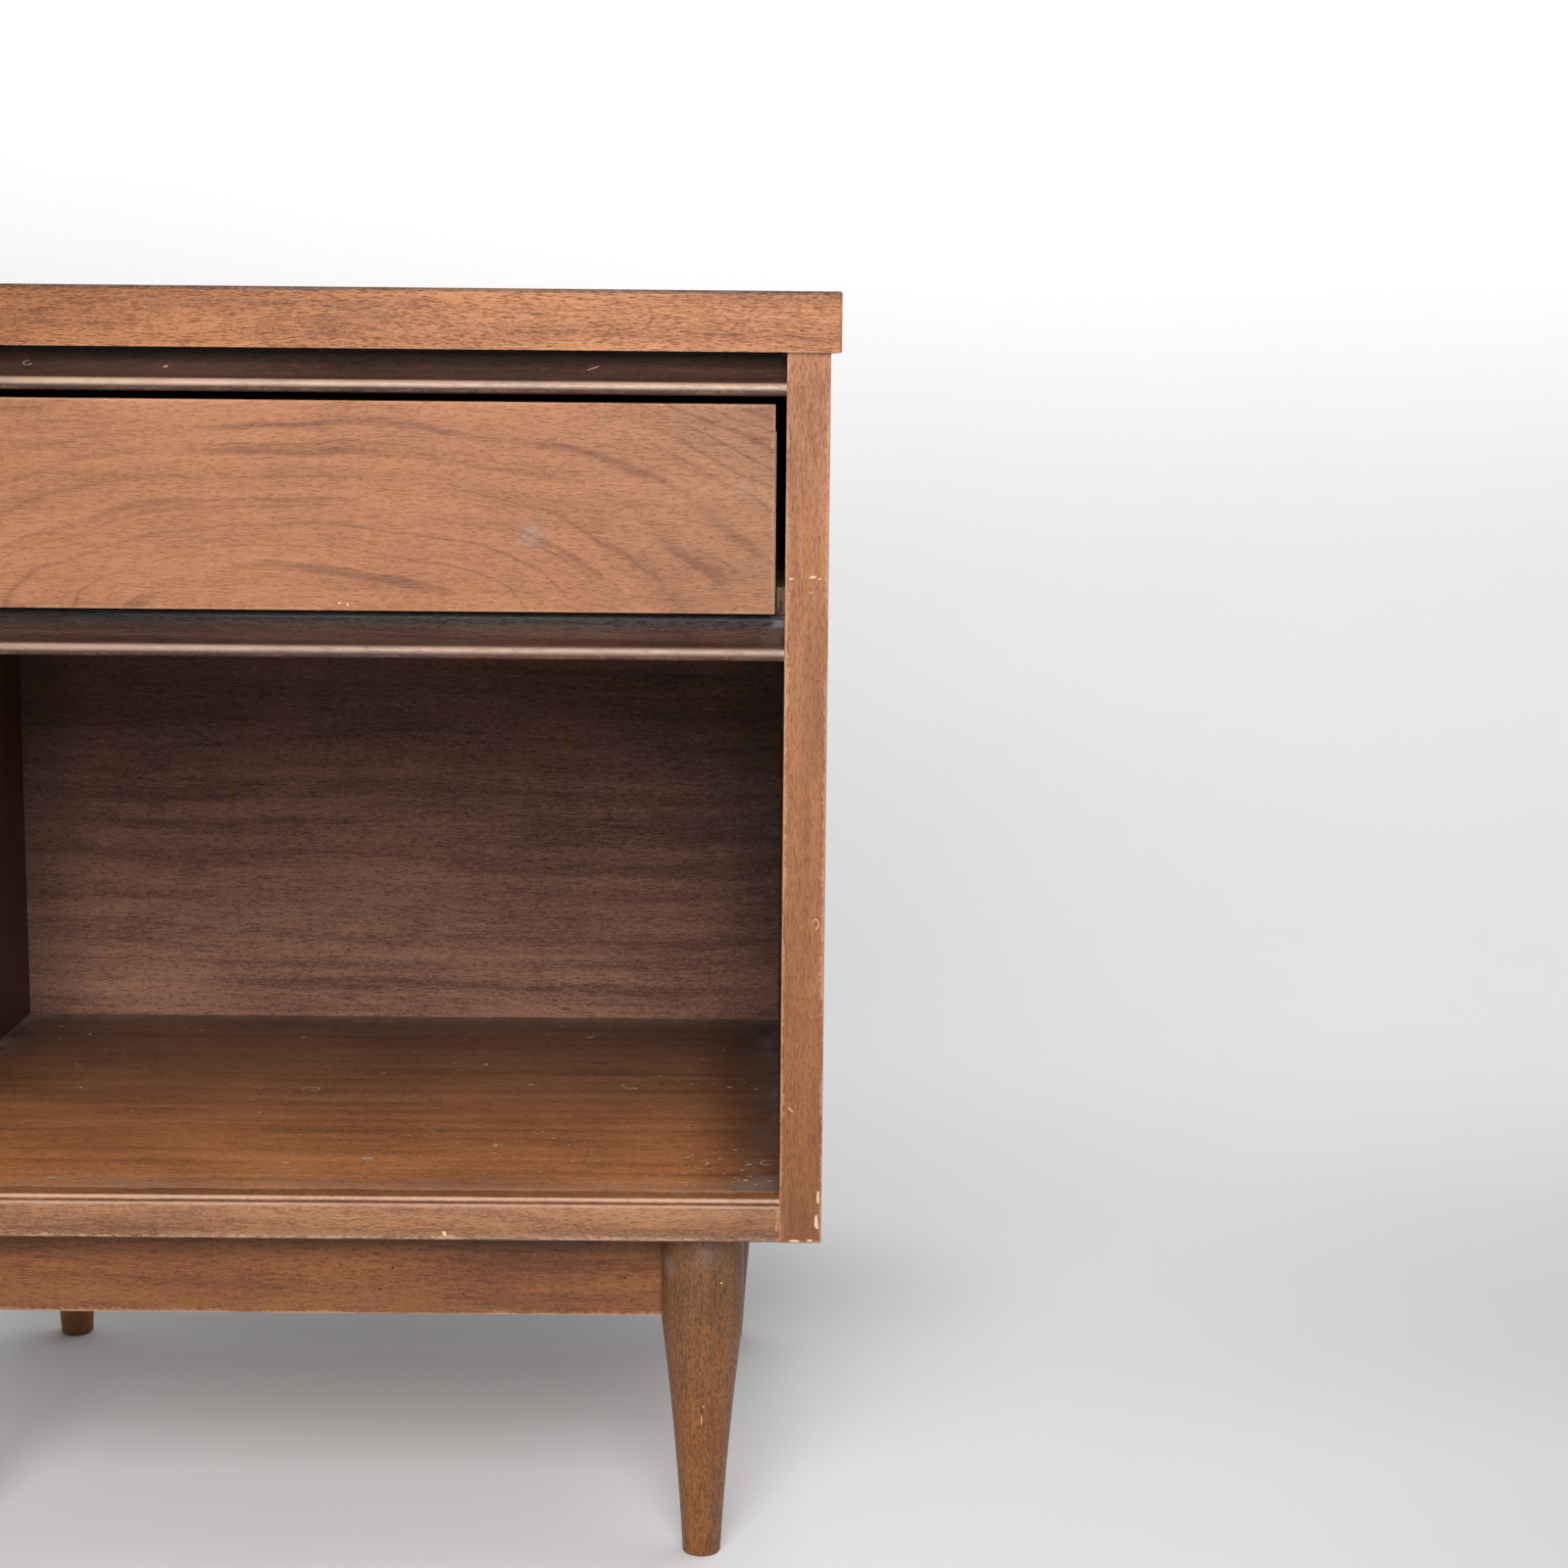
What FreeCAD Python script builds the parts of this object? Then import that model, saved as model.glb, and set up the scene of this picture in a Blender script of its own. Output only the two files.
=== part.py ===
import FreeCAD, Part
import os
import Sketcher

# Nightstand with one drawer over an open shelf, on four turned legs.
# Millimetres. +Z is up, the front faces -Y, and the origin lies on the floor
# under the middle of the case. One solid per real piece of wood or hardware.

V = FreeCAD.Vector

SIZES = [
    # case
    ("inner_width", 428.0),            # clear width between the side panels
    ("panel_thickness", 19.0),         # side panels
    ("case_depth", 362.0),             # front edge to rear edge of a side panel
    ("panel_ease", 0.9),               # rounding of exposed panel edges
    ("dado_depth", 4.0),               # how far shelf and divider enter the sides
    ("top_thickness", 26.0),
    ("top_side_overhang", 4.5),
    ("top_end_overhang", 3.0),         # front and rear
    ("top_ease", 1.3),
    ("back_thickness", 6.0),
    ("back_setback", 6.0),             # back panel to rear edge of the case
    ("back_rabbet", 10.0),             # wider than the dados are deep: nails pass behind them
    ("back_slack", 0.5),               # each side of the back panel in its rabbets
    # open compartment
    ("sill_height", 20.3),
    ("sill_depth", 12.0),
    ("sill_lip", 2.4),                 # rounded upper lip of the sill
    ("quirk_width", 0.9),              # narrow groove under the lip
    ("quirk_depth", 1.8),
    ("sill_face_set", 0.6),            # sill face behind its lip, under the quirk
    ("sill_crease_height", 7.6),       # where the swell meets the hollow below it
    ("sill_crease_set", 1.3),
    ("sill_foot_set", 0.8),
    ("sill_swell_radius", 16.0),
    ("sill_hollow_radius", 11.0),
    ("shelf_thickness", 19.0),
    ("compartment_height", 243.2),
    # cove rails above and below the drawer
    ("rail_height", 18.9),
    ("rail_depth", 40.0),
    ("nose_radius", 3.2),
    ("divider_thickness", 12.0),
    ("rear_rail_height", 40.0),
    ("rear_rail_thickness", 19.0),
    ("cleat_width", 16.0),             # square strips that hold the top
    # drawer
    ("drawer_front_height", 90.8),
    ("drawer_front_thickness", 19.0),
    ("drawer_front_ease", 0.8),
    ("finger_lip", 9.0),               # wood left in front of the finger groove
    ("reveal_below", 2.0),
    ("reveal_above", 3.4),
    ("reveal_side", 4.7),
    ("drawer_side_gap", 4.2),          # drawer box to side panel
    ("drawer_side_height", 80.0),
    ("drawer_side_thickness", 12.0),
    ("drawer_back_thickness", 12.0),
    ("drawer_back_drop", 5.0),         # drawer back below the drawer sides
    ("drawer_rear_gap", 30.0),         # closed drawer to back panel
    ("guide_start", 24.0),             # side guides begin behind the drawer front
    ("centre_guide_start", 42.0),
    ("drawer_bottom_thickness", 4.0),
    ("drawer_bottom_lift", 14.0),      # drawer bottom above the side's lower edge
    ("side_groove", 5.0),
    ("front_groove", 6.0),
    ("sliding_gap", 0.6),
    # drawer runners fixed to the case
    ("guide_thickness", 3.5),
    ("guide_height", 12.0),
    ("centre_guide_width", 20.0),
    ("centre_guide_height", 7.0),
    ("runner_wall", 12.0),
    ("stop_size", 14.0),
    # base
    ("leg_length", 160.0),             # floor to underside of the case
    ("leg_radius", 19.0),
    ("foot_radius", 8.8),
    ("foot_ease", 1.0),
    ("leg_hollow_radius", 1600.0),     # very slight hollow of the taper
    ("front_leg_from_side", 35.0),     # leg axis to inner face of the side panel
    ("rear_leg_from_side", 28.0),
    ("front_leg_gap", 1.0),            # back of the sill to the front legs
    ("rear_leg_from_back", 25.0),      # leg axis to back panel
    ("apron_height", 46.0),
    ("apron_thickness", 19.0),
    ("apron_clear", 1.5),              # apron's inner face beyond the leg's surface
    ("side_apron_out", 10.0),          # side apron face outside the front leg axis
    ("tenon_length", 11.0),
    ("tenon_thickness", 8.0),
    ("tenon_set", 2.0),                # tenon behind the apron's outer face
    ("tenon_shoulder", 6.0),           # above and below each tenon
    ("block_leg", 34.0),               # corner block along each apron
    ("block_height", 36.0),
    # fasteners
    ("nail_radius", 1.2),
    ("nail_head_radius", 2.8),
    ("nail_head_height", 1.0),
    ("nail_bite", 8.0),                # into the side panels
    ("nail_pitch", 86.0),
    ("screw_radius", 2.2),
    ("screw_head_radius", 4.2),
    ("screw_head_height", 2.4),
    ("screw_bite", 12.0),              # into the top
    ("screw_pitch", 110.0),
    ("hole_gap", 0.15),                # fastener shank to its hole, all round
]

NAILS_PER_EDGE = 5
SCREWS_PER_CLEAT = 3


class Length:
    """A length that keeps its value together with the sheet formula it comes from."""

    def __init__(self, value, formula):
        self.value = value
        self.formula = formula

    def __add__(self, other):
        other = as_length(other)
        return Length(self.value + other.value, "(%s + %s)" % (self.formula, other.formula))

    def __sub__(self, other):
        other = as_length(other)
        return Length(self.value - other.value, "(%s - %s)" % (self.formula, other.formula))

    def __mul__(self, factor):
        return Length(self.value * factor, "(%s * %s)" % (self.formula, factor))

    def __neg__(self):
        return self * -1

    __radd__ = __add__
    __rmul__ = __mul__


def as_length(item):
    return item if isinstance(item, Length) else Length(float(item), "%s mm" % item)


def is_zero(item):
    return not isinstance(item, Length) and item == 0


class Sheet:
    """Reads the spreadsheet's cells as Length values, by alias."""

    def __init__(self, document):
        self.cells = document.addObject("Spreadsheet::Sheet", "Sizes")
        for row, (alias, value) in enumerate(SIZES, start=1):
            self.cells.set("A%d" % row, alias)
            self.cells.set("B%d" % row, str(value))
            self.cells.setAlias("B%d" % row, alias)
        document.recompute()

    def __getattr__(self, alias):
        return Length(float(self.cells.get(alias)), "Sizes.%s * 1 mm" % alias)


doc = FreeCAD.newDocument("nightstand")
size = Sheet(doc)
pieces = []

# Levels and planes that several pieces share.
half_inner = size.inner_width * 0.5
half_case = half_inner + size.panel_thickness
front_y = size.case_depth * -0.5
back_face_y = front_y + size.case_depth - size.back_setback - size.back_thickness
shelf_top = size.leg_length + size.sill_height
shelf_under = shelf_top - size.shelf_thickness
lower_rail_z = shelf_top + size.compartment_height
divider_top = lower_rail_z + size.rail_height
drawer_z = divider_top + size.reveal_below
upper_rail_z = drawer_z + size.drawer_front_height + size.reveal_above
case_top = upper_rail_z + size.rail_height
case_height = case_top - size.leg_length
cleat_z = case_top - size.cleat_width
box_z = divider_top + size.sliding_gap
box_half_width = half_inner - size.drawer_side_gap
box_depth = size.case_depth - size.back_setback - size.back_thickness - size.drawer_rear_gap
drawer_bottom_z = box_z + size.drawer_bottom_lift
box_inner_half = box_half_width - size.drawer_side_thickness
box_front_y = front_y + size.drawer_front_thickness
box_rear_y = front_y + box_depth
front_leg_x = half_inner - size.front_leg_from_side
rear_leg_x = half_inner - size.rear_leg_from_side
front_leg_y = front_y + size.sill_depth + size.front_leg_gap + size.leg_radius
rear_leg_y = back_face_y - size.rear_leg_from_back
apron_z = size.leg_length - size.apron_height
apron_rise = shelf_under - apron_z
apron_face = size.leg_radius + size.apron_clear - size.apron_thickness


# ---------------------------------------------------------------- helpers

def bind(item, prop, length):
    item.setExpression(prop, as_length(length).formula)


def place(item, at):
    for axis, length in zip("xyz", at):
        if not is_zero(length):
            bind(item, "Placement.Base." + axis, length)


def new_body(label, at):
    body = doc.addObject("PartDesign::Body", label)
    body.Label = label
    place(body, at)
    pieces.append(body)
    return body


def new_sketch(body, plane_role, offset=0):
    sketch = body.newObject("Sketcher::SketchObject", body.Label + "_sketch")
    plane = [item for item in body.Origin.OriginFeatures if item.Role == plane_role][0]
    sketch.AttachmentSupport = (plane, "")
    sketch.MapMode = "FlatFace"
    if not is_zero(offset):
        bind(sketch, "AttachmentOffset.Base.z", offset)
    return sketch


def arc_between(start, end, radius, side):
    """Arc from start to end; its centre lies on the left (side 1) or the right (side -1)."""
    chord = end - start
    middle = (start + end) * 0.5
    rise = max(radius ** 2 - (chord.Length / 2) ** 2, 0) ** 0.5
    normal = V(-chord.y, chord.x, 0).normalize()
    centre = middle + normal * rise * side
    outward = (middle - centre).normalize() if rise > 1e-6 else normal * -side
    return Part.Arc(start, centre + outward * radius, end)


def pin_point(sketch, geometry, end, corner):
    """Ties one end of a line to its place, measured from the sketch's origin."""
    for kind, axis, length in (("DistanceX", -2, corner[0]), ("DistanceY", -1, corner[1])):
        if is_zero(length):
            sketch.addConstraint(Sketcher.Constraint("PointOnObject", geometry, end, axis))
        else:
            number = sketch.addConstraint(
                Sketcher.Constraint(kind, -1, 1, geometry, end, length.value))
            bind(sketch, "Constraints[%d]" % number, length)


def draw_outline(sketch, corners, arcs=None):
    """Closed outline through the corners. arcs maps a corner's number to the
    (radius, side) of the arc that leaves it; the other sides are straight."""
    arcs = arcs or {}
    points = [V(as_length(u).value, as_length(v).value, 0) for u, v in corners]
    first = sketch.GeometryCount
    count = len(points)
    for number, start in enumerate(points):
        end = points[(number + 1) % count]
        if number in arcs:
            radius, side = arcs[number]
            sketch.addGeometry(arc_between(start, end, radius.value, side), False)
        else:
            sketch.addGeometry(Part.LineSegment(start, end), False)
    ends = [segment_ends(sketch, first + number, points[number]) for number in range(count)]
    for number in range(count):
        following = (number + 1) % count
        sketch.addConstraint(Sketcher.Constraint(
            "Coincident", first + number, ends[number][1], first + following, ends[following][0]))
        pin_point(sketch, first + number, ends[number][0], corners[number])
    for number, (radius, side) in arcs.items():
        row = sketch.addConstraint(Sketcher.Constraint("Radius", first + number, radius.value))
        bind(sketch, "Constraints[%d]" % row, radius)


def segment_ends(sketch, geometry, start):
    """Numbers of a segment's first and last point; a sketch stores arcs anticlockwise."""
    begins_there = sketch.getPoint(geometry, 1).distanceToPoint(start) < 1e-4
    return (1, 2) if begins_there else (2, 1)


def draw_rectangle(sketch, low, high):
    draw_outline(sketch, [low, (high[0], low[1]), high, (low[0], high[1])])


def draw_circle(sketch, centre, radius):
    place_at = V(as_length(centre[0]).value, as_length(centre[1]).value, 0)
    number = sketch.addGeometry(Part.Circle(place_at, V(0, 0, 1), radius.value), False)
    row = sketch.addConstraint(Sketcher.Constraint("Radius", number, radius.value))
    bind(sketch, "Constraints[%d]" % row, radius)
    pin_point(sketch, number, 3, centre)


def pad(body, sketch, length, reverse=False):
    feature = body.newObject("PartDesign::Pad", body.Label + "_pad")
    feature.Profile = sketch
    feature.Reversed = reverse
    bind(feature, "Length", length)
    body.Tip = feature
    return feature


def pocket(body, sketch, depth, reverse=False):
    feature = body.newObject("PartDesign::Pocket", body.Label + "_pocket")
    feature.Profile = sketch
    feature.Reversed = reverse
    bind(feature, "Length", depth)
    body.Tip = feature
    return feature


def turn(body, sketch):
    feature = body.newObject("PartDesign::Revolution", body.Label + "_turning")
    feature.Profile = sketch
    feature.ReferenceAxis = (sketch, ["V_Axis"])
    feature.Angle = 360
    body.Tip = feature
    return feature


def ease(body, radius, wanted):
    """Rounds the edges of the body's latest feature for which wanted(edge) is true."""
    doc.recompute()
    base = body.Tip
    names = ["Edge%d" % number for number, edge in enumerate(base.Shape.Edges, start=1)
             if wanted(edge)]
    feature = body.newObject("PartDesign::Fillet", body.Label + "_ease")
    feature.Base = (base, names)
    bind(feature, "Radius", radius)
    body.Tip = feature
    return feature


def lies_at(edge, axis, length):
    """True for an edge that lies in the body's plane axis = length."""
    level = as_length(length).value
    return all(abs(getattr(vertex.Point, axis) - level) < 1e-4 for vertex in edge.Vertexes)


def board(label, at, extent):
    """A plain rectangular board, as a box bound to the sheet."""
    box = doc.addObject("Part::Box", label)
    box.Label = label
    for prop, length in zip(("Length", "Width", "Height"), extent):
        bind(box, prop, length)
    place(box, at)
    pieces.append(box)
    return box


def profile_board(label, at, corners, run, arcs=None):
    """A moulding: a YZ outline that runs along +X."""
    body = new_body(label, at)
    sketch = new_sketch(body, "YZ_Plane")
    draw_outline(sketch, corners, arcs)
    pad(body, sketch, run)
    return body


def fasteners(label, places, turned, head, shank_radius, bite):
    """Headed nails or screws. Each stands at its place under the head, and turned
    swings its head from +Z to the way that it faces; bite is the shank's length."""
    made = []
    for number, at in enumerate(places, start=1):
        cap = doc.addObject("Part::Cylinder", "%s_head_%d" % (label, number))
        bind(cap, "Radius", head[0])
        bind(cap, "Height", head[1])
        shank = doc.addObject("Part::Cylinder", "%s_shank_%d" % (label, number))
        bind(shank, "Radius", shank_radius)
        bind(shank, "Height", bite)
        cap.Placement.Rotation = turned
        shank.Placement.Rotation = turned * FreeCAD.Rotation(V(1, 0, 0), 180)
        place(cap, at)
        place(shank, at)
        whole = doc.addObject("Part::Fuse", "%s_%d" % (label, number))
        whole.Base = cap
        whole.Tool = shank
        made.append(whole)
    group = doc.addObject("Part::Compound", label)
    group.Label = label
    group.Links = made
    pieces.append(group)
    return group


def mirror_piece(label, source):
    """The same piece for the other side of the case."""
    twin = doc.addObject("Part::Mirroring", label)
    twin.Label = label
    twin.Source = source
    twin.Normal = V(1, 0, 0)
    pieces.append(twin)
    return twin


# ---------------------------------------------------------------- fastener places

def row_of(middle, pitch, count):
    """Evenly spaced places along a line, about its middle."""
    first = middle - pitch * (0.5 * (count - 1))
    return [first + pitch * number for number in range(count)]


nail_x = half_inner + (size.dado_depth + size.back_rabbet) * 0.5
nail_heights = row_of(size.leg_length + case_height * 0.5, size.nail_pitch, NAILS_PER_EDGE)
cleat_front_y = front_y + size.rail_depth
cleat_run = back_face_y - size.rear_rail_thickness - cleat_front_y
screw_x = half_inner - size.cleat_width * 0.5
screw_ys = row_of(cleat_front_y + cleat_run * 0.5, size.screw_pitch, SCREWS_PER_CLEAT)
nail_hole = size.nail_radius + size.hole_gap
screw_hole = size.screw_radius + size.hole_gap


# ---------------------------------------------------------------- case

def make_top():
    width = (half_case + size.top_side_overhang) * 2
    depth = size.case_depth + size.top_end_overhang * 2
    body = new_body("top_panel", (width * -0.5, depth * -0.5, case_top))
    sketch = new_sketch(body, "XY_Plane")
    draw_rectangle(sketch, (0, 0), (width, depth))
    pad(body, sketch, size.top_thickness)
    ease(body, size.top_ease, lambda edge: not lies_at(edge, "z", 0))
    holes = new_sketch(body, "XY_Plane")
    for x in (-screw_x, screw_x):
        for y in screw_ys:
            draw_circle(holes, (x + width * 0.5, y + depth * 0.5), screw_hole)
    pocket(body, holes, size.screw_bite, reverse=True)


def make_side_panels():
    """Rabbeted at the rear for the back, with dados for the shelf and the divider."""
    thickness = size.panel_thickness
    rabbet_y = size.case_depth - size.back_setback - size.back_thickness
    left = new_body("side_panel_left", (-half_case, front_y, size.leg_length))
    plan = new_sketch(left, "XY_Plane")
    draw_outline(plan, [(0, 0), (thickness, 0), (thickness, rabbet_y),
                        (thickness - size.back_rabbet, rabbet_y),
                        (thickness - size.back_rabbet, size.case_depth),
                        (0, size.case_depth)])
    pad(left, plan, case_height)
    ease(left, size.panel_ease,
         lambda edge: (lies_at(edge, "x", 0) or lies_at(edge, "y", 0))
         and not lies_at(edge, "z", case_height))
    dados = new_sketch(left, "YZ_Plane", thickness)
    for start, top, height in (
            (size.sill_depth, shelf_top, size.shelf_thickness),
            (size.rail_depth, divider_top, size.divider_thickness)):
        draw_rectangle(dados, (start, top - height - size.leg_length),
                       (rabbet_y, top - size.leg_length))
    pocket(left, dados, size.dado_depth)
    holes = new_sketch(left, "XZ_Plane", -rabbet_y)
    for height in nail_heights:
        draw_circle(holes, (half_case - nail_x, height - size.leg_length), nail_hole)
    pocket(left, holes, size.nail_bite, reverse=True)
    mirror_piece("side_panel_right", left)


def make_back():
    width = (half_inner + size.back_rabbet - size.back_slack) * 2
    body = new_body("back_panel", (width * -0.5, back_face_y, size.leg_length))
    sketch = new_sketch(body, "XZ_Plane")
    draw_rectangle(sketch, (0, 0), (width, case_height))
    pad(body, sketch, size.back_thickness, reverse=True)
    holes = new_sketch(body, "XZ_Plane")
    for x in (-nail_x, nail_x):
        for height in nail_heights:
            draw_circle(holes, (x + width * 0.5, height - size.leg_length), nail_hole)
    pocket(body, holes, size.back_thickness)
    rear_y = back_face_y + size.back_thickness
    fasteners("back_nails",
              [(x, rear_y, height) for x in (-nail_x, nail_x) for height in nail_heights],
              FreeCAD.Rotation(V(1, 0, 0), -90),
              (size.nail_head_radius, size.nail_head_height),
              size.nail_radius, size.back_thickness + size.nail_bite)


def make_shelf():
    """The compartment's floor, and the moulded sill that fronts it."""
    housed = half_inner + size.dado_depth
    sill_back_y = front_y + size.sill_depth
    board("bottom_shelf", (-housed, sill_back_y, shelf_under),
          (housed * 2, back_face_y - sill_back_y, size.shelf_thickness))
    lip = size.sill_lip * 0.5
    under_lip = size.sill_height - size.sill_lip
    under_quirk = under_lip - size.quirk_width
    profile_board(
        "shelf_front_rail", (-half_inner, front_y, size.leg_length),
        [(size.sill_depth, 0), (size.sill_depth, size.sill_height),
         (lip, size.sill_height), (0, size.sill_height - lip), (lip, under_lip),
         (size.quirk_depth, under_lip), (size.quirk_depth, under_quirk),
         (size.sill_face_set, under_quirk),
         (size.sill_crease_set, size.sill_crease_height),
         (size.sill_foot_set, size.sill_foot_set), (size.sill_foot_set * 2, 0)],
        size.inner_width,
        {2: (lip, 1), 3: (lip, 1),
         7: (size.sill_swell_radius, 1), 8: (size.sill_hollow_radius, -1)})


def make_cove_rails():
    """Alike above and below the drawer: a quarter-round cove over a rounded nose."""
    nose = size.nose_radius
    cove = size.rail_height - nose * 2
    for label, height in (("upper_rail", upper_rail_z), ("lower_rail", lower_rail_z)):
        profile_board(
            label, (-half_inner, front_y, height),
            [(size.rail_depth, 0), (size.rail_depth, size.rail_height),
             (nose + cove, size.rail_height), (nose, nose * 2), (0, nose), (nose, 0)],
            size.inner_width,
            {2: (cove, -1), 3: (nose, 1), 4: (nose, 1)})


def make_divider():
    housed = half_inner + size.dado_depth
    rail_back_y = front_y + size.rail_depth
    board("divider_panel", (-housed, rail_back_y, divider_top - size.divider_thickness),
          (housed * 2, back_face_y - rail_back_y, size.divider_thickness))


def make_top_frame():
    """The rear rail and the two cleats that the top is screwed to."""
    board("rear_top_rail",
          (-half_inner, back_face_y - size.rear_rail_thickness,
           case_top - size.rear_rail_height),
          (size.inner_width, size.rear_rail_thickness, size.rear_rail_height))
    left = new_body("top_cleat_left", (-half_inner, cleat_front_y, cleat_z))
    sketch = new_sketch(left, "XY_Plane")
    draw_rectangle(sketch, (0, 0), (size.cleat_width, cleat_run))
    pad(left, sketch, size.cleat_width)
    holes = new_sketch(left, "XY_Plane")
    for y in screw_ys:
        draw_circle(holes, (half_inner - screw_x, y - cleat_front_y), screw_hole)
    pocket(left, holes, size.cleat_width, reverse=True)
    mirror_piece("top_cleat_right", left)
    fasteners("top_screws",
              [(x, y, cleat_z) for x in (-screw_x, screw_x) for y in screw_ys],
              FreeCAD.Rotation(V(1, 0, 0), 180),
              (size.screw_head_radius, size.screw_head_height),
              size.screw_radius, size.cleat_width + size.screw_bite)


def make_drawer_guides():
    """Strips that steer the drawer, and the stops behind it, all on the divider."""
    guide_y = front_y + size.guide_start
    guide_run = box_rear_y - guide_y
    stop_y = box_rear_y + size.sliding_gap
    for side, guide_x, stop_x in (
            ("left", -half_inner, -box_half_width),
            ("right", half_inner - size.guide_thickness, box_half_width - size.stop_size)):
        board("drawer_guide_" + side, (guide_x, guide_y, divider_top),
              (size.guide_thickness, guide_run, size.guide_height))
        board("drawer_stop_" + side, (stop_x, stop_y, divider_top),
              (size.stop_size, size.stop_size, size.stop_size))
    start_y = front_y + size.centre_guide_start
    board("centre_guide", (size.centre_guide_width * -0.5, start_y, divider_top),
          (size.centre_guide_width, box_rear_y - start_y, size.centre_guide_height))


# ---------------------------------------------------------------- drawer

def make_drawer_front():
    """Plain flush front: no handle, but a finger groove along its lower rear edge."""
    deep = size.drawer_front_thickness
    groove_z = drawer_bottom_z - drawer_z
    groove_top = groove_z + size.drawer_bottom_thickness
    body = profile_board(
        "drawer_front", (size.reveal_side - half_inner, front_y, drawer_z),
        [(0, 0), (size.finger_lip, 0), (deep, deep - size.finger_lip), (deep, groove_z),
         (deep - size.front_groove, groove_z), (deep - size.front_groove, groove_top),
         (deep, groove_top), (deep, size.drawer_front_height),
         (0, size.drawer_front_height)],
        (half_inner - size.reveal_side) * 2,
        {1: (deep - size.finger_lip, -1)})
    ease(body, size.drawer_front_ease, lambda edge: lies_at(edge, "y", 0))


def make_drawer_sides():
    wide = size.drawer_side_thickness
    low = size.drawer_bottom_lift
    high = low + size.drawer_bottom_thickness
    left = new_body("drawer_side_left", (-box_half_width, box_front_y, box_z))
    sketch = new_sketch(left, "XZ_Plane")
    draw_outline(sketch, [(0, 0), (wide, 0), (wide, low), (wide - size.side_groove, low),
                          (wide - size.side_groove, high), (wide, high),
                          (wide, size.drawer_side_height), (0, size.drawer_side_height)])
    pad(left, sketch, box_rear_y - box_front_y, reverse=True)
    mirror_piece("drawer_side_right", left)


def make_drawer_floor_and_back():
    grooved = box_inner_half + size.side_groove
    floor_y = box_front_y - size.front_groove
    floor_top = drawer_bottom_z + size.drawer_bottom_thickness
    board("drawer_bottom", (-grooved, floor_y, drawer_bottom_z),
          (grooved * 2, box_rear_y - floor_y, size.drawer_bottom_thickness))
    board("drawer_back", (-box_inner_half, box_rear_y - size.drawer_back_thickness, floor_top),
          (box_inner_half * 2, size.drawer_back_thickness,
           box_z + size.drawer_side_height - size.drawer_back_drop - floor_top))


def make_drawer_runner():
    """A channel under the drawer's middle, which rides over the centre guide."""
    wall = size.runner_wall
    opening = size.centre_guide_width + size.sliding_gap * 2
    width = opening + wall * 2
    body = new_body("drawer_runner", (width * -0.5, box_front_y, box_z))
    sketch = new_sketch(body, "XZ_Plane")
    draw_outline(sketch, [(0, 0), (wall, 0), (wall, size.centre_guide_height),
                          (wall + opening, size.centre_guide_height), (wall + opening, 0),
                          (width, 0), (width, size.drawer_bottom_lift),
                          (0, size.drawer_bottom_lift)])
    pad(body, sketch, box_rear_y - box_front_y, reverse=True)


# ---------------------------------------------------------------- base

tenon_low = size.tenon_shoulder
tenon_high = apron_rise - size.tenon_shoulder
tenon_far = size.tenon_set + size.tenon_thickness
side_apron_face_x = front_leg_x + size.side_apron_out


def make_leg(label, x, y, facing):
    """A turned leg on its own axis. facing is 1 where its side apron runs to the rear."""
    body = new_body(label, (-x, y, 0))
    profile = new_sketch(body, "XZ_Plane")
    draw_outline(profile, [(0, 0), (size.foot_radius, 0), (size.leg_radius, apron_z),
                           (size.leg_radius, shelf_under), (0, shelf_under)],
                 {1: (size.leg_hollow_radius, -1)})
    turn(body, profile)
    ease(body, size.foot_ease, lambda edge: lies_at(edge, "z", 0))
    across = new_sketch(body, "YZ_Plane", size.leg_radius)
    near = (apron_face + size.tenon_set) * facing
    far = (apron_face + tenon_far) * facing
    draw_rectangle(across, (near, apron_z + tenon_low), (far, apron_z + tenon_high))
    pocket(body, across, size.tenon_length)
    along = new_sketch(body, "XZ_Plane", size.leg_radius * -facing)
    outer = x - side_apron_face_x + size.tenon_set
    draw_rectangle(along, (outer, apron_z + tenon_low),
                   (outer + size.tenon_thickness, apron_z + tenon_high))
    pocket(body, along, size.tenon_length, reverse=facing > 0)
    return body


def make_legs():
    for row, x, y, facing in (("front", front_leg_x, front_leg_y, 1),
                              ("rear", rear_leg_x, rear_leg_y, -1)):
        left = make_leg("leg_%s_left" % row, x, y, facing)
        mirror_piece("leg_%s_right" % row, left)


def make_apron(label, at, run, tenon_from, quarter_turned=False):
    """A board along local +X with one long tenon slab through it."""
    body = new_body(label, at)
    if quarter_turned:
        body.Placement.Rotation = FreeCAD.Rotation(V(0, 0, 1), 90)
        place(body, at)
    plan = new_sketch(body, "XY_Plane")
    draw_rectangle(plan, (0, 0), (run, size.apron_thickness))
    pad(body, plan, apron_rise)
    tenon = new_sketch(body, "YZ_Plane", -size.tenon_length)
    draw_rectangle(tenon, (tenon_from, tenon_low),
                   (tenon_from + size.tenon_thickness, tenon_high))
    pad(body, tenon, run + size.tenon_length * 2)
    return body


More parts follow.
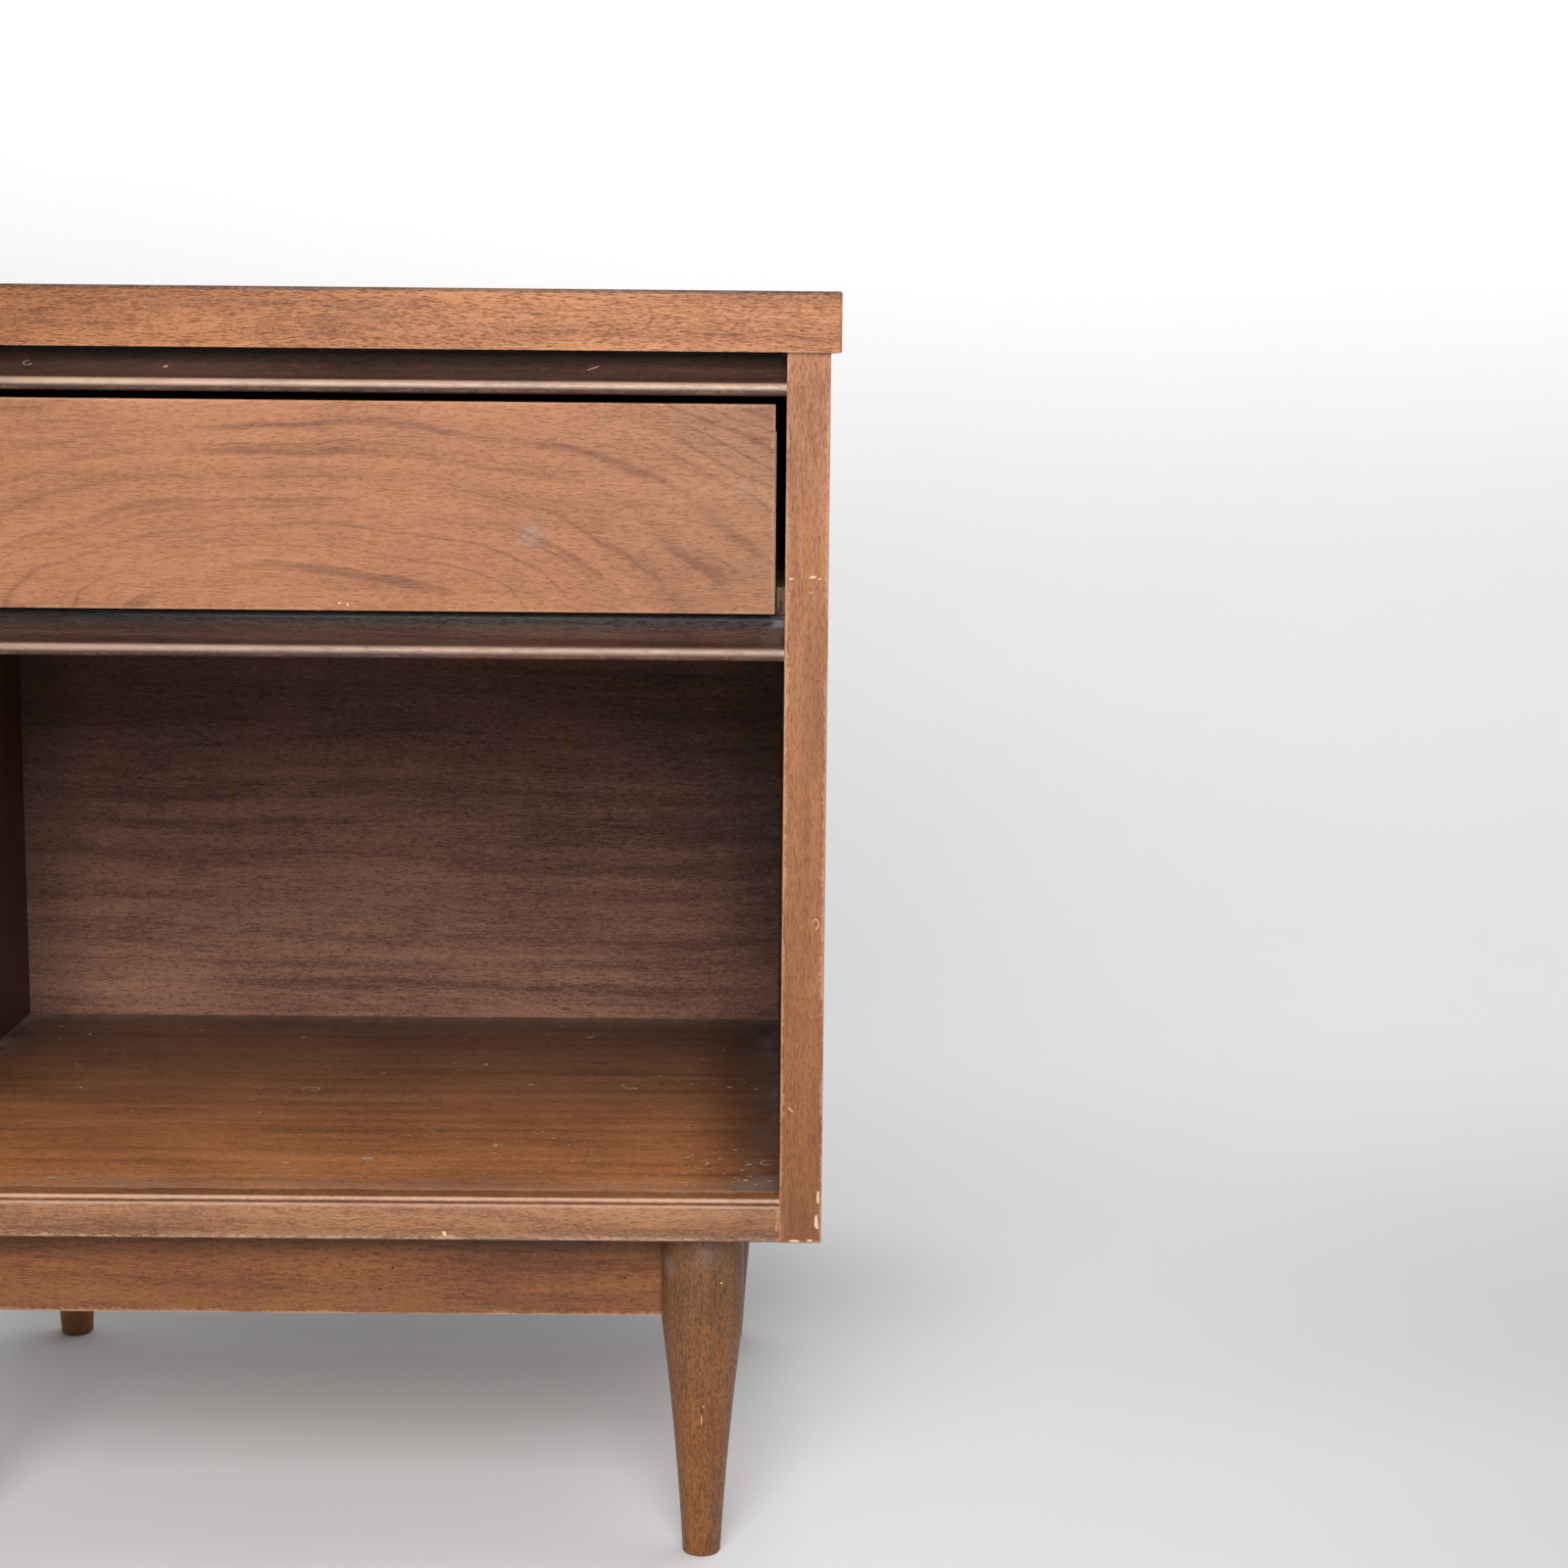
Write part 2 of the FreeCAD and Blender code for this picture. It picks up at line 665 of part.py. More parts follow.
def make_aprons():
    thickness = size.apron_thickness
    from_rear = thickness - tenon_far
    front_face_y = front_leg_y + apron_face
    rear_back_y = rear_leg_y - apron_face
    side_run = rear_leg_y - front_leg_y - size.leg_radius * 2
    front_half = front_leg_x - size.leg_radius
    rear_half = rear_leg_x - size.leg_radius
    make_apron("apron_front", (-front_half, front_face_y, apron_z),
               front_half * 2, size.tenon_set)
    make_apron("apron_rear", (-rear_half, rear_back_y - thickness, apron_z),
               rear_half * 2, from_rear)
    left = make_apron("apron_left",
                      (thickness - side_apron_face_x, front_leg_y + size.leg_radius, apron_z),
                      side_run, from_rear, quarter_turned=True)
    mirror_piece("apron_right", left)


def make_corner_blocks():
    """Three-cornered glue blocks where the aprons meet, under the shelf."""
    inner_x = size.apron_thickness - side_apron_face_x
    front_inner_y = front_leg_y + apron_face + size.apron_thickness
    rear_inner_y = rear_leg_y - apron_face - size.apron_thickness
    for row, y, facing in (("front", front_inner_y, 1), ("rear", rear_inner_y, -1)):
        left = new_body("corner_block_%s_left" % row,
                        (inner_x, y, shelf_under - size.block_height))
        sketch = new_sketch(left, "XY_Plane")
        draw_outline(sketch, [(0, 0), (size.block_leg, 0), (0, size.block_leg * facing)])
        pad(left, sketch, size.block_height)
        mirror_piece("corner_block_%s_right" % row, left)


# ---------------------------------------------------------------- build and write

def check_model():
    """Stops on any failed feature, cut that missed, or piece without a sound solid."""
    for item in doc.Objects:
        if "Invalid" in item.State or "Error" in item.State:
            raise RuntimeError("%s did not build: %s" % (item.Label, item.State))
        if item.TypeId == "PartDesign::Pocket":
            before = item.BaseFeature.Shape.Volume
            if item.Shape.Volume > before - 1:
                raise RuntimeError("%s cuts nothing" % item.Label)
    for piece in pieces:
        shape = piece.Shape
        if shape.isNull() or not shape.isValid() or not shape.Solids:
            raise RuntimeError("%s has no sound solid" % piece.Label)


make_top()
make_side_panels()
make_back()
make_shelf()
make_cove_rails()
make_divider()
make_top_frame()
make_drawer_guides()
make_drawer_front()
make_drawer_sides()
make_drawer_floor_and_back()
make_drawer_runner()
make_legs()
make_aprons()
make_corner_blocks()
doc.recompute()
check_model()

os.makedirs("parts", exist_ok=True)
for piece in pieces:
    piece.Shape.exportStep(os.path.join("parts", piece.Label + ".step"))
print("wrote %d pieces" % len(pieces))
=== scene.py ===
"""Walnut nightstand: finishes, wear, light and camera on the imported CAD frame. Metres throughout."""
import math
import random

import bmesh
import bpy
from mathutils import Matrix, Vector

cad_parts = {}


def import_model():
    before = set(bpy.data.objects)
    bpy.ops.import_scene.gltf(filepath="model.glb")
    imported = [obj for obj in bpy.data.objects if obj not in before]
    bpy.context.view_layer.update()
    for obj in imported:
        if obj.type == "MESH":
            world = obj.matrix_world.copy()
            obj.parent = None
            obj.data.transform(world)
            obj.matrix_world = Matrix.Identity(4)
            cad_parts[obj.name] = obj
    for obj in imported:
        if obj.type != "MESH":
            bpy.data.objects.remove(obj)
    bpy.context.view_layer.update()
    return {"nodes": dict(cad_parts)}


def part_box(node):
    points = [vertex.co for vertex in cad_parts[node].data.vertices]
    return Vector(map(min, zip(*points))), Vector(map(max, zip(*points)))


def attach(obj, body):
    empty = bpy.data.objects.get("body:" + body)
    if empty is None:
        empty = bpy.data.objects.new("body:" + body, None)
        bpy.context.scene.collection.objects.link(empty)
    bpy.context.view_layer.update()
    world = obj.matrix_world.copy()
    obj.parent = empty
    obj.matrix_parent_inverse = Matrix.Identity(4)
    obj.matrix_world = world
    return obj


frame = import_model()


def colour(red, green, blue):
    """A display colour (0 to 255 a channel) as the linear RGBA a shader takes."""
    def linear(c):
        c = c / 255
        return c / 12.92 if c <= 0.04045 else ((c + 0.055) / 1.055) ** 2.4
    return (linear(red), linear(green), linear(blue), 1.0)


# ---------------------------------------------------------------- shader graph helpers

class Graph:
    """A material's node tree, with one short method for each kind of node the finishes use.

    A value passed to a method is a number, a tuple or another node's output.
    """

    def __init__(self, name):
        self.material = bpy.data.materials.new(name)
        self.material.use_nodes = True
        self.tree = self.material.node_tree
        self.shader = self.tree.nodes["Principled BSDF"]
        self.place = self.node("ShaderNodeTexCoord").outputs["Object"]

    def node(self, kind, **settings):
        made = self.tree.nodes.new(kind)
        for key, value in settings.items():
            setattr(made, key, value)
        return made

    def feed(self, socket, value):
        """Link value to the socket, or set it there if it is a plain number or tuple."""
        if isinstance(value, bpy.types.NodeSocket):
            self.tree.links.new(value, socket)
        else:
            socket.default_value = value

    def math(self, operation, *values, clamp=False):
        made = self.node("ShaderNodeMath", operation=operation, use_clamp=clamp)
        for socket, value in zip(made.inputs, values):
            self.feed(socket, value)
        return made.outputs[0]

    def vector(self, operation, *values):
        made = self.node("ShaderNodeVectorMath", operation=operation)
        for socket, value in zip(made.inputs, values):
            self.feed(socket, value)
        return made.outputs["Value" if operation in ("LENGTH", "DISTANCE") else "Vector"]

    def split(self, vector):
        made = self.node("ShaderNodeSeparateXYZ")
        self.feed(made.inputs[0], vector)
        return list(made.outputs)

    def join(self, x, y, z):
        made = self.node("ShaderNodeCombineXYZ")
        for socket, value in zip(made.inputs, (x, y, z)):
            self.feed(socket, value)
        return made.outputs[0]

    def noise(self, vector, detail=2.0, roughness=0.5):
        made = self.node("ShaderNodeTexNoise")
        self.feed(made.inputs["Vector"], vector)
        for key, value in (("Scale", 1.0), ("Detail", detail), ("Roughness", roughness)):
            made.inputs[key].default_value = value
        return made.outputs["Fac"]

    def spots(self, fineness, detail=2.0, roughness=0.5):
        """Noise in the object's own space. fineness is spots a metre, one value or one an axis."""
        fineness = fineness if isinstance(fineness, tuple) else (fineness,) * 3
        return self.noise(self.vector("MULTIPLY", self.place, fineness), detail, roughness)

    def span(self, value, low, high, to_low=0.0, to_high=1.0):
        """value from low..high to to_low..to_high, eased and clamped."""
        made = self.node("ShaderNodeMapRange", interpolation_type="SMOOTHSTEP")
        for socket, v in zip(made.inputs, (value, low, high, to_low, to_high)):
            self.feed(socket, v)
        return made.outputs[0]

    def mix(self, factor, a, b, blend="MIX"):
        made = self.node("ShaderNodeMix", data_type="RGBA", blend_type=blend)
        self.feed(made.inputs[0], factor)
        self.feed(made.inputs[6], a)
        self.feed(made.inputs[7], b)
        return made.outputs[2]

    def ramp(self, factor, stops):
        """A smooth colour ramp through (position, colour) stops."""
        made = self.node("ShaderNodeValToRGB")
        self.feed(made.inputs[0], factor)
        ramp = made.color_ramp
        ramp.interpolation = "B_SPLINE"
        ramp.elements[0].position, ramp.elements[0].color = stops[0]
        ramp.elements[1].position, ramp.elements[1].color = stops[-1]
        for position, tone in stops[1:-1]:
            ramp.elements.new(position).color = tone
        return made.outputs[0]

    def bump(self, height, depth):
        """Fine relief in the shader's normal: height 1 stands depth metres proud."""
        made = self.node("ShaderNodeBump")
        made.inputs["Strength"].default_value = 1.0
        made.inputs["Distance"].default_value = depth
        self.feed(made.inputs["Height"], height)
        self.feed(self.shader.inputs["Normal"], made.outputs[0])

    def edge_distance(self, low, high):
        """Distance along the surface to the nearest arris of the box low..high."""
        gaps = []
        for value, a, b in zip(self.split(self.place), low, high):
            from_low = self.math("SUBTRACT", value, a)
            from_high = self.math("SUBTRACT", b, value)
            gaps.append(self.math("MAXIMUM", self.math("MINIMUM", from_low, from_high), 0.0))
        x, y, z = gaps
        lower = self.math("MINIMUM", x, y)
        upper = self.math("MAXIMUM", x, y)
        return self.math("MAXIMUM", lower, self.math("MINIMUM", upper, z))


# ---------------------------------------------------------------- finishes

BARE_WOOD = colour(214, 168, 132)
# Colour of the painted highlights along moulding crests, which partly stand for wear.
HIGHLIGHT_AND_WEAR = colour(204, 168, 144)
DUST = colour(150, 138, 128)

GRAIN_ORDER = {"X": (0, 1, 2), "Y": (1, 0, 2), "Z": (2, 0, 1)}    # along the grain, then across it

# Layers of the wood: how often each repeats in a metre along and across the grain, then its noise
# detail and roughness.
STREAKS = (4.0, 90.0, 4.0, 0.62)
FIBRES = (60.0, 1100.0, 3.0, 0.7)
PORES = (230.0, 1900.0, 1.0, 0.55)
STIPPLE = (520.0, 1500.0, 1.0, 0.55)
WANDER = 0.020                     # how far the grain strays from straight
FIBRE_WEIGHT, STIPPLE_WEIGHT, BLOTCH_WEIGHT = 0.36, 0.30, 0.26
TONE_REACH = 0.21                  # from the middle tone to the darkest or the lightest
RELIEF = 0.00018

# A finish is its dark, middle and light tones and its sheen (the roughness between pores), and
# where it differs from USUAL, how strongly its streaks (contrast), fine texture (nap), speckle
# and pores show, and how much clear coat it has.
USUAL = dict(contrast=0.46, nap=1.0, speckle=1.0, pores=0.65, coat=0.0)
FINISHES = {
    "top": dict(tones=((98, 52, 26), (163, 102, 60), (188, 126, 78)), sheen=0.34, contrast=0.56),
    "drawer": dict(tones=((107, 64, 41), (161, 105, 71), (185, 126, 87)), sheen=0.40, nap=0.52,
                   pores=0.28),
    # The rails' tones are far darker than the other walnut: painted shade for rails set back under the top
    # and the drawer.
    "rail": dict(tones=((48, 31, 24), (82, 56, 46), (104, 76, 62)), sheen=0.34, coat=0.15),
    "shelf": dict(tones=((88, 56, 37), (150, 102, 68), (176, 124, 87)), sheen=0.36, contrast=0.42),
    "sill": dict(tones=((102, 63, 40), (157, 108, 75), (179, 130, 93)), sheen=0.34),
    "panel": dict(tones=((106, 63, 37), (165, 106, 69), (185, 125, 84)), sheen=0.40, contrast=0.36,
                  nap=0.62, pores=0.45),
    "back": dict(tones=((67, 39, 31), (136, 93, 74), (163, 116, 93)), sheen=0.50),
    "apron": dict(tones=((82, 44, 22), (131, 79, 45), (151, 97, 57)), sheen=0.40),
    "leg": dict(tones=((72, 44, 21), (124, 78, 43), (148, 97, 56)), sheen=0.38, contrast=0.30,
                speckle=1.7),
    "pale": dict(tones=((176, 142, 98), (214, 182, 136), (232, 206, 164)), sheen=0.62),
    "aged": dict(tones=((84, 74, 62), (124, 110, 94), (150, 136, 116)), sheen=0.66),
}


def tint(level):
    """The colour to multiply by for one level, or for three, one a channel."""
    return (*level, 1.0) if isinstance(level, tuple) else (level, level, level, 1.0)


def grain_layers(g, grain, shift):
    """A maker of noise stretched along the grain, which wanders a little as it runs."""
    axes = g.split(g.place)
    along, across, depth = (axes[i] for i in GRAIN_ORDER[grain])
    wander = g.noise(g.join(g.math("MULTIPLY_ADD", along, 5.0, shift), g.math("MULTIPLY", across, 9.0),
                            g.math("MULTIPLY", depth, 9.0)), detail=1.0)
    drift = g.math("MULTIPLY_ADD", wander, WANDER, -WANDER / 2)
    across, depth = g.math("ADD", across, drift), g.math("ADD", depth, drift)

    def layer(lengthwise, crosswise, detail, roughness):
        return g.noise(g.join(g.math("MULTIPLY_ADD", along, lengthwise, shift),
                              g.math("MULTIPLY", across, crosswise),
                              g.math("MULTIPLY", depth, crosswise)), detail, roughness)
    return layer


def tinted_and_shaded(g, shade, fades):
    """Tinted by each fade, which is the wood's own tone on some boards and painted light and shade on
    others: its first level outside its reaches, its last where all of them end.

    A fade is (first, last, reach, ...) and a reach is (axis, start, end).
    """
    axes = dict(zip("XYZ", g.split(g.place)))
    for first, last, *reaches in fades:
        mask = 1.0
        for axis, start, end in reaches:
            mask = g.math("MULTIPLY", mask, g.span(axes[axis], start, end))
        shade = g.mix(1.0, shade, g.mix(mask, tint(first), tint(last)), "MULTIPLY")
    return shade


def dusted(g, shade, low, high, reach, amount):
    """Dust gathered within reach of the edges of the box low..high, heavier in patches."""
    edge = g.edge_distance(low, high)
    drift = g.spots(60.0, 3.0, 0.7)
    grains = g.spots((1400.0, 900.0, 900.0), 1.0)
    depth = g.math("MULTIPLY", g.span(edge, 0.0, reach, amount, 0.0), g.span(drift, 0.30, 0.65))
    specks = g.math("MULTIPLY", g.span(grains, 0.70, 0.78), 0.35)
    return g.mix(g.math("MAXIMUM", depth, specks), shade, DUST)


def smudged(g, shade, blotch, puffs):
    """Soft grey smudges with uneven edges. A puff is (x, y, z, radius, amount)."""
    for *centre, radius, amount in puffs:
        away = g.math("MULTIPLY_ADD", blotch, radius, g.vector("DISTANCE", g.place, tuple(centre)))
        shade = g.mix(g.span(away, radius * 0.4, radius * 1.6, amount, 0.0), shade, DUST)
    return shade


def painted_highlights_and_wear(g, shade, crests):
    """Pale lines along X on a moulding's crests: painted highlights that also stand for wear where it is
    handled. A crest is (y, z, radius, amount).
    """
    x, y, z = g.split(g.place)
    for crest_y, crest_z, radius, amount in crests:
        gap = g.vector("LENGTH", g.join(0.0, g.math("SUBTRACT", y, crest_y), g.math("SUBTRACT", z, crest_z)))
        uneven = g.noise(g.join(g.math("MULTIPLY", x, 22.0), crest_z, 0.0), 3.0, 0.7)
        line = g.math("MULTIPLY", g.span(gap, radius * 0.3, radius, 1.0, 0.0),
                      g.span(uneven, 0.25, 0.6, amount * 0.6, amount))
        shade = g.mix(line, shade, HIGHLIGHT_AND_WEAR)
    return shade


def worn(g, shade, low, high, arris, chips):
    """The box's arrises worn pale by arris (width, amount) and chipped to bare wood.

    Returns the new colour and the mask of the chips.
    """
    edge = g.edge_distance(low, high)
    ragged, patchy = g.spots(420.0, 3.0, 0.6), g.spots(38.0, 2.0, 0.6)
    if arris:
        width, amount = arris
        line = g.math("MULTIPLY", g.span(edge, width * 0.5, width, 1.0, 0.0),
                      g.span(patchy, 0.35, 0.55, amount * 0.45, amount))
        shade = g.mix(line, shade, BARE_WOOD)
    reach = g.math("MULTIPLY_ADD", g.math("MULTIPLY", ragged, patchy), 0.0105, -0.0016)
    inside = g.span(g.math("SUBTRACT", edge, reach), -0.0004, 0.0003, 1.0, 0.0)
    chipped = g.math("MULTIPLY", inside, chips)
    return g.mix(chipped, shade, BARE_WOOD), chipped


def wood(node, grain, finish, figure=None, fades=(), dust=None, puffs=(), crests=(), arris=None,
         chips=0.4):
    """Lacquered wood for one CAD board, and then, in this order, its tints with painted light and shade,
    dust, smudges, painted highlights that partly stand for wear, and worn, chipped arrises.
    """
    low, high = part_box(node)
    spec = {**USUAL, **FINISHES[finish]}
    dark, mid, light = (colour(*tone) for tone in spec["tones"])
    contrast, nap, speckle = spec["contrast"], spec["nap"], spec["speckle"]
    g = Graph(f"{finish}_wood_{node}")
    layer = grain_layers(g, grain, shift=random.Random(node).uniform(-3, 3))

    streak = layer(*STREAKS)
    if figure:
        streak = figure(g, low, high, streak)
    fibre = layer(*FIBRES)
    pore = g.span(layer(*PORES), 0.54, 0.70)
    stipple = g.math("MULTIPLY_ADD", layer(*STIPPLE), speckle, 0.5 - speckle / 2)
    blotch = g.spots(11.0, 3.0)
    tone = g.math("MULTIPLY", fibre, FIBRE_WEIGHT * nap)
    tone = g.math("MULTIPLY_ADD", streak, contrast, tone)
    tone = g.math("MULTIPLY_ADD", blotch, BLOTCH_WEIGHT, tone)
    tone = g.math("MULTIPLY_ADD", stipple, STIPPLE_WEIGHT * nap, tone)
    middle = (contrast + (FIBRE_WEIGHT + STIPPLE_WEIGHT) * nap + BLOTCH_WEIGHT) / 2
    shade = g.ramp(g.span(tone, middle - TONE_REACH, middle + TONE_REACH),
                   ((0.0, dark), (0.5, mid), (1.0, light)))
    shade = g.mix(g.math("MULTIPLY", pore, spec["pores"]), shade, dark)

    # tints of the wood, and painted light and shade
    shade = tinted_and_shaded(g, shade, fades)
    if dust:
        shade = dusted(g, shade, low, high, *dust)
    shade = smudged(g, shade, blotch, puffs)
    # painted highlights along the crests, partly wear
    shade = painted_highlights_and_wear(g, shade, crests)
    shade, chipped = worn(g, shade, low, high, arris, chips)

    g.feed(g.shader.inputs["Base Color"], shade)
    rough = g.math("MULTIPLY_ADD", pore, 0.16, g.math("MULTIPLY_ADD", blotch, 0.14, spec["sheen"]))
    g.feed(g.shader.inputs["Roughness"], g.math("MULTIPLY_ADD", chipped, 0.25, rough, clamp=True))
    g.shader.inputs["Specular IOR Level"].default_value = 0.42
    g.shader.inputs["Coat Weight"].default_value = spec["coat"]
    g.shader.inputs["Coat Roughness"].default_value = 0.16
    g.bump(g.math("MULTIPLY_ADD", pore, -0.7, g.math("MULTIPLY", fibre, 0.5)), RELIEF)
    return g.material


def cathedral(g, low, high, streak):
    """Nested arches of figure, centred on the board and rising from below its lower edge."""
    half_width, rise, squareness = 0.183, 0.094, 2.3
    x, _, z = g.split(g.place)
    centre = (low.x + high.x) / 2
    base = low.z - 0.35 * (high.z - low.z)
    u = g.math("DIVIDE", g.math("ABSOLUTE", g.math("SUBTRACT", x, centre)), half_width)
    v = g.math("DIVIDE", g.math("ABSOLUTE", g.math("SUBTRACT", z, base)), rise)
    powers = g.math("ADD", g.math("POWER", u, squareness), g.math("POWER", v, squareness))
    wobble = g.spots((14.0, 14.0, 30.0))
    arch = g.math("MULTIPLY_ADD", wobble, 0.16, g.math("POWER", powers, 1 / squareness))
    broad = g.noise(g.join(g.math("MULTIPLY", arch, 6.0), 0.0, 0.0))
    fine = g.noise(g.join(g.math("MULTIPLY", arch, 8.5), 7.0, 0.0), 1.0)
    crossing = g.math("ABSOLUTE", g.math("SUBTRACT", fine, 0.5))
    core = g.math("ADD", g.span(crossing, 0.0, 0.012, 0.5, 0.0), g.span(crossing, 0.0, 0.050, 0.5, 0.0))
    patch = g.spots((12.0, 12.0, 24.0), 1.0)
    line = g.math("MULTIPLY", core, g.span(patch, 0.35, 0.65))
    tone = g.math("MULTIPLY_ADD", broad, 0.45, g.math("MULTIPLY_ADD", streak, 0.40, 0.10))
    return g.math("MULTIPLY_ADD", line, -0.27, tone)


def steel(node):
    """Dull zinc-plated fastener."""
    g = Graph(f"steel_{node}")
    mottle = g.spots(900.0, 3.0)
    g.feed(g.shader.inputs["Base Color"], g.mix(mottle, colour(126, 124, 120), colour(188, 186, 182)))
    g.feed(g.shader.inputs["Roughness"], g.math("MULTIPLY_ADD", mottle, 0.3, 0.25))
    g.shader.inputs["Metallic"].default_value = 1.0
    return g.material


# ---------------------------------------------------------------- shade and wear, board by board

FAINT = (0.0006, 0.40)             # an arris rubbed pale: width, amount
WORN = (0.0008, 0.28)
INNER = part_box("side_panel_right")[0].x
SIDE_SHADE = [(1.0, 0.60, ("X", side * (INNER - 0.049), side * INNER)) for side in (1, -1)]
# The front apron: darker along its lower edge and lighter above it, and at its top a painted shadow of the
# case over it.
APRON_FADES = [((0.92, 0.90, 0.80), (1.16, 1.12, 0.97), ("Z", 0.123, 0.136)),
               (1.0, 0.48, ("Z", 0.137, 0.153))]
LEG_FADES = [((1.16, 1.09, 0.92), (0.86, 0.90, 0.91), ("Z", 0.06, 0.15))]


def top_wear(node):
    """The front edge of the top, yellower to the left, with a dark line along its upper arris."""
    low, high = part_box(node)
    on_front, line_top, line_foot = ("Y", low.y + 0.003, low.y + 0.001), 0.0011, 0.0021
    return dict(chips=0.12, fades=[((0.87, 0.82, 0.67), (1.08, 1.08, 1.04), ("X", -0.15, 0.22)),
                                   (1.0, 0.30, ("Z", high.z - line_foot, high.z - line_top), on_front)])


def panel_shade_and_wear(inner, outward):
    """A side panel with painted shade darkening it towards the floor and painted light at its top, and
    painted shade darkening its inner face at x = inner.
    """
    just_inside = ("X", inner + outward * 0.0008, inner + outward * 0.0003)
    behind_front_edge = ("Y", -0.176, -0.170)
    return dict(arris=WORN, chips=0.34,
                # painted shade towards the floor and painted light at the top; painted shade on the inner
                # face
                fades=[((0.72, 0.67, 0.57), (1.05, 1.10, 1.14), ("Z", 0.16, 0.56)),
                       (1.0, (0.28, 0.30, 0.44), behind_front_edge, just_inside)])


def rail_shade_highlight_and_wear(node, amount, puffs=()):
    """The nose of a rail with a painted highlight along its crest, partly wear, under a cove darkened by
    painted shade.
    """
    low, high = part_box(node)
    nose, cove, radius = low.z + 0.0042, low.z + 0.010, 0.0023
    return dict(chips=0.12, puffs=puffs, crests=[(low.y, nose, radius, amount)],
                # painted shade darkening the cove up to the rail's top
                fades=[(1.0, 0.17, ("Z", cove, high.z))])


def drawer_wear():
    """Figured, greyer at its right end, with two faint smudges."""
    return dict(figure=cathedral, arris=FAINT, chips=0.2,
                fades=[((0.97, 0.95, 0.92), (0.89, 0.93, 0.98), ("X", 0.10, 0.21))],
                puffs=[(0.104, -0.181, 0.478, 0.009, 0.30), (0.196, -0.181, 0.497, 0.007, 0.16)])


def back_shade(node):
    """The back's front face with painted light at the foot and painted shade towards the top and the sides.
    """
    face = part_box(node)[0].y
    on_front = ("Y", face + 0.0015, face + 0.0005)
    # painted shade towards the top, painted light at the foot, painted shade near the sides
    return dict(fades=[(1.0, 0.56, ("Z", 0.22, 0.42), on_front),
                       (1.28, 1.0, ("Z", 0.18, 0.25)), *SIDE_SHADE])


def shelf_shade_and_dust():
    """The shelf, brighter at the front and darker towards the back and the sides as painted light and shade,
    greyer at the back as dust, with dust along its edges and in two corners.
    """
    return dict(dust=(0.030, 0.45),
                # painted light at the front and painted shade to the back, greyer there as dust; painted
                # shade near the side panels
                fades=[((1.90, 1.62, 1.32), (0.42, 0.48, 0.60), ("Y", -0.185, 0.17)),
                       (1.0, 0.72, ("X", 0.160, 0.208)), *SIDE_SHADE],
                puffs=[(0.206, -0.160, 0.180, 0.018, 0.40), (-0.210, 0.165, 0.180, 0.018, 0.45)])


def sill_highlights_and_tone(node):
    """The sill's two arrises, above and below the quirk, lit by painted highlights that partly stand for
    wear, and its top toned like the shelf.
    """
    low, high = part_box(node)
    lip, below_quirk = (low.y, high.z - 0.0006), (low.y + 0.0006, high.z - 0.0038)
    # painted highlights, partly wear, along the lip and below the quirk
    return dict(crests=[(*lip, 0.0014, 0.68), (*below_quirk, 0.0012, 0.55)],
                fades=[(0.74, 1.0, ("Z", high.z - 0.0165, high.z - 0.013)),
                       (1.0, (0.98, 0.87, 0.70), ("Y", low.y + 0.0008, low.y + 0.0024))])


# Boards that show: the way the grain runs, the finish, and what else wood() takes.
SHOWN_BOARDS = {
    "top_panel": ("X", "top", top_wear("top_panel")),
    "side_panel_left": ("Z", "panel", panel_shade_and_wear(-INNER, -1)),
    "side_panel_right": ("Z", "panel", panel_shade_and_wear(INNER, 1)),
    "upper_rail": ("X", "rail", rail_shade_highlight_and_wear("upper_rail", 0.77)),
    "lower_rail": ("X", "rail", rail_shade_highlight_and_wear("lower_rail", 0.51, [(0.208, -0.178, 0.438, 0.012, 0.35)])),
    "drawer_front": ("X", "drawer", drawer_wear()),
    "back_panel": ("X", "back", back_shade("back_panel")),
    "bottom_shelf": ("X", "shelf", shelf_shade_and_dust()),
    "shelf_front_rail": ("X", "sill", sill_highlights_and_tone("shelf_front_rail")),
    "apron_front": ("X", "apron", dict(arris=FAINT, chips=0.25, fades=APRON_FADES)),
    "leg_front_left": ("Z", "leg", dict(fades=LEG_FADES)),
    "leg_front_right": ("Z", "leg", dict(fades=LEG_FADES, puffs=[(0.163, -0.160, 0.142, 0.009, 0.40),
                                                                 (0.182, -0.168, 0.152, 0.014, 0.22)])),
    "leg_rear_left": ("Z", "leg", dict(fades=LEG_FADES)),
    "leg_rear_right": ("Z", "leg", dict(fades=LEG_FADES)),
}
PLAIN_BOARDS = {
    ("X", "back"): ["divider_panel"],
    ("X", "apron"): ["apron_rear"],
    ("Y", "apron"): ["apron_left", "apron_right"],
    ("X", "pale"): ["drawer_back", "drawer_bottom", "drawer_stop_left", "drawer_stop_right",
                    "rear_top_rail"],
    ("Y", "pale"): ["drawer_side_left", "drawer_side_right", "drawer_runner", "centre_guide",
                    "top_cleat_left", "top_cleat_right"],
    ("Z", "pale"): ["corner_block_front_left", "corner_block_front_right", "corner_block_rear_left",
                    "corner_block_rear_right"],
    ("Y", "aged"): ["drawer_guide_left", "drawer_guide_right"],
}
FASTENERS = ["back_nails", "top_screws"]


def finish_node(node, material):
    materials = frame["nodes"][node].data.materials
    materials.clear()
    materials.append(material)


for node, (grain, finish, wear) in SHOWN_BOARDS.items():
    finish_node(node, wood(node, grain, finish, **wear))
for (grain, finish), nodes in PLAIN_BOARDS.items():
    for node in nodes:
        finish_node(node, wood(node, grain, finish))
for node in FASTENERS:
    finish_node(node, steel(node))


# ---------------------------------------------------------------- nicks, rings, pin holes and dust

